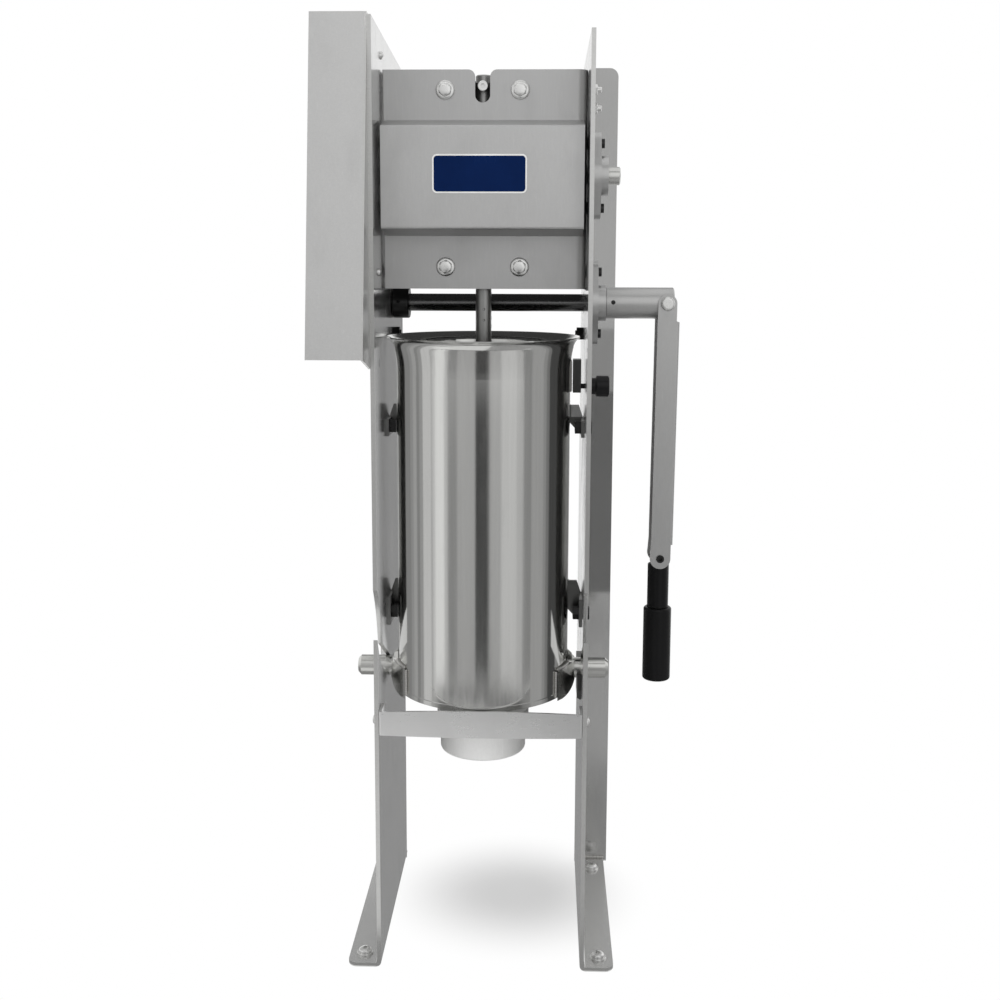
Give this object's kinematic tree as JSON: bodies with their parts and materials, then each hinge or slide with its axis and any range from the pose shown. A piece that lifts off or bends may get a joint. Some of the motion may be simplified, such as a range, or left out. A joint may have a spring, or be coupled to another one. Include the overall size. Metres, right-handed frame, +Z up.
{
  "type": "churro maker",
  "caption": "Upright hand-cranked churro press: tank in a two-plate sheet steel frame, geared rack piston, folding crank grip, threaded outlet ring.",
  "frame": {"origin": "on the bench in the middle of the machine's footprint box, crank and gear case included", "axes": "+Z up, +X to the operator's right (crank side), +Y away from the operator"},
  "size_m": [0.3445, 0.283, 0.9],
  "materials": {
    "plate_left": "satin",
    "plate_right": "satin",
    "pad": "satin",
    "case_back": "satin",
    "case_cover": "satin",
    "panel": "satin",
    "hat": "satin",
    "guide": "machined",
    "zinc_bolts": "bright",
    "bearing": "machined",
    "dark_bolts": "dull",
    "cradle": "satin",
    "strap": "satin",
    "screws": "bright",
    "tank": "polished",
    "trunnion": "polished pin, dull pad",
    "lug": "satin",
    "outlet": "machined",
    "nut": "turned",
    "shaft": "turned",
    "gear": "oiled",
    "collar": "blackened",
    "hub": "turned",
    "arm": "satin",
    "pin": "satin",
    "rod": "satin",
    "piston": "white acetal",
    "seal": "matte",
    "black_plastic": "black",
    "cap": "pale",
    "knob": "black"
  },
  "bodies": {
    "frame": {"side_plate_left": "plate_left", "side_plate_right": "plate_right", "pivot_pad": "pad", "case_plate": "case_back", "gear_cover": "case_cover", "front_panel": "panel", "hat_cover": "hat", "guide_upper": "guide", "guide_lower": "guide", "panel_bolts": "zinc_bolts", "bearing_upper_right": "bearing", "bearing_lower_right": "bearing", "bearing_upper_left": "bearing", "bearing_lower_left": "bearing", "bearing_bolts_right": "dark_bolts", "bearing_bolts_left": "dark_bolts", "cradle_upper": "cradle", "cradle_lower": "cradle", "cradle_bolts": "zinc_bolts", "front_strap": "strap", "plate_screws": "screws", "foot_bolts": "zinc_bolts", "tank": "tank", "trunnion_left": "trunnion", "trunnion_right": "trunnion", "lock_lug": "lug", "outlet_neck": "outlet"},
    "upper_drive": {"upper_shaft": "shaft", "rack_pinion": "gear", "drive_gear": "gear"},
    "crank": {"lower_shaft": "shaft", "case_pinion": "gear", "shaft_collar": "collar", "crank_hub": "hub", "crank_arm": "arm", "crank_bolt": "zinc_bolts", "grip_pin": "pin"},
    "rack": {"rack_rod": "rod", "stop_screw": "zinc_bolts", "piston": "piston", "piston_seal": "seal"},
    "grip": {"grip_eye": "pin", "grip_collar": "black_plastic"},
    "grip_tube": {"grip_sleeve": "black_plastic", "grip_cap": "cap"},
    "lock": {"lock_plunger": "knob"},
    "outlet_ring": {"outlet_nut": "nut"}
  },
  "joints": [
    {"name": "crank_turn", "type": "hinge", "parent": "frame", "child": "crank", "pos_m": [-0.024, 0.0535, 0.642], "axis": [1, 0, 0], "range_deg": [-108, 3650]},
    {"name": "upper_turn", "type": "hinge", "parent": "frame", "child": "upper_drive", "pos_m": [-0.024, 0.024, 0.76604], "axis": [1, 0, 0], "range_deg": [-730.5, 22]},
    {"name": "rack_slide", "type": "slide", "parent": "frame", "child": "rack", "axis": [0, 0, 1], "range_m": [-0.01, 0.3346]},
    {"name": "grip_fold", "type": "hinge", "parent": "crank", "child": "grip", "pos_m": [0.15602, 0.0535, 0.38101], "axis": [0, -1, 0], "range_deg": [0, 90]},
    {"name": "grip_spin", "type": "hinge", "parent": "grip", "child": "grip_tube", "pos_m": [0.15602, 0.0535, 0.29], "axis": [0, 0, 1], "continuous": true},
    {"name": "lock_pull", "type": "slide", "parent": "frame", "child": "lock", "axis": [1, 0, 0], "range_m": [0, 0.012], "stiffness_N_per_m": 400, "springref_m": -0.004},
    {"name": "outlet_ring_turn", "type": "hinge", "parent": "frame", "child": "outlet_ring", "pos_m": [-0.024, -0.0065, 0.2], "axis": [0, 0, 1], "continuous": true}
  ],
  "couplings": [
    {"joint": "upper_turn", "follows": "crank_turn", "ratio": -0.2},
    {"joint": "rack_slide", "follows": "crank_turn", "m_per_rad": 0.00525}
  ]
}
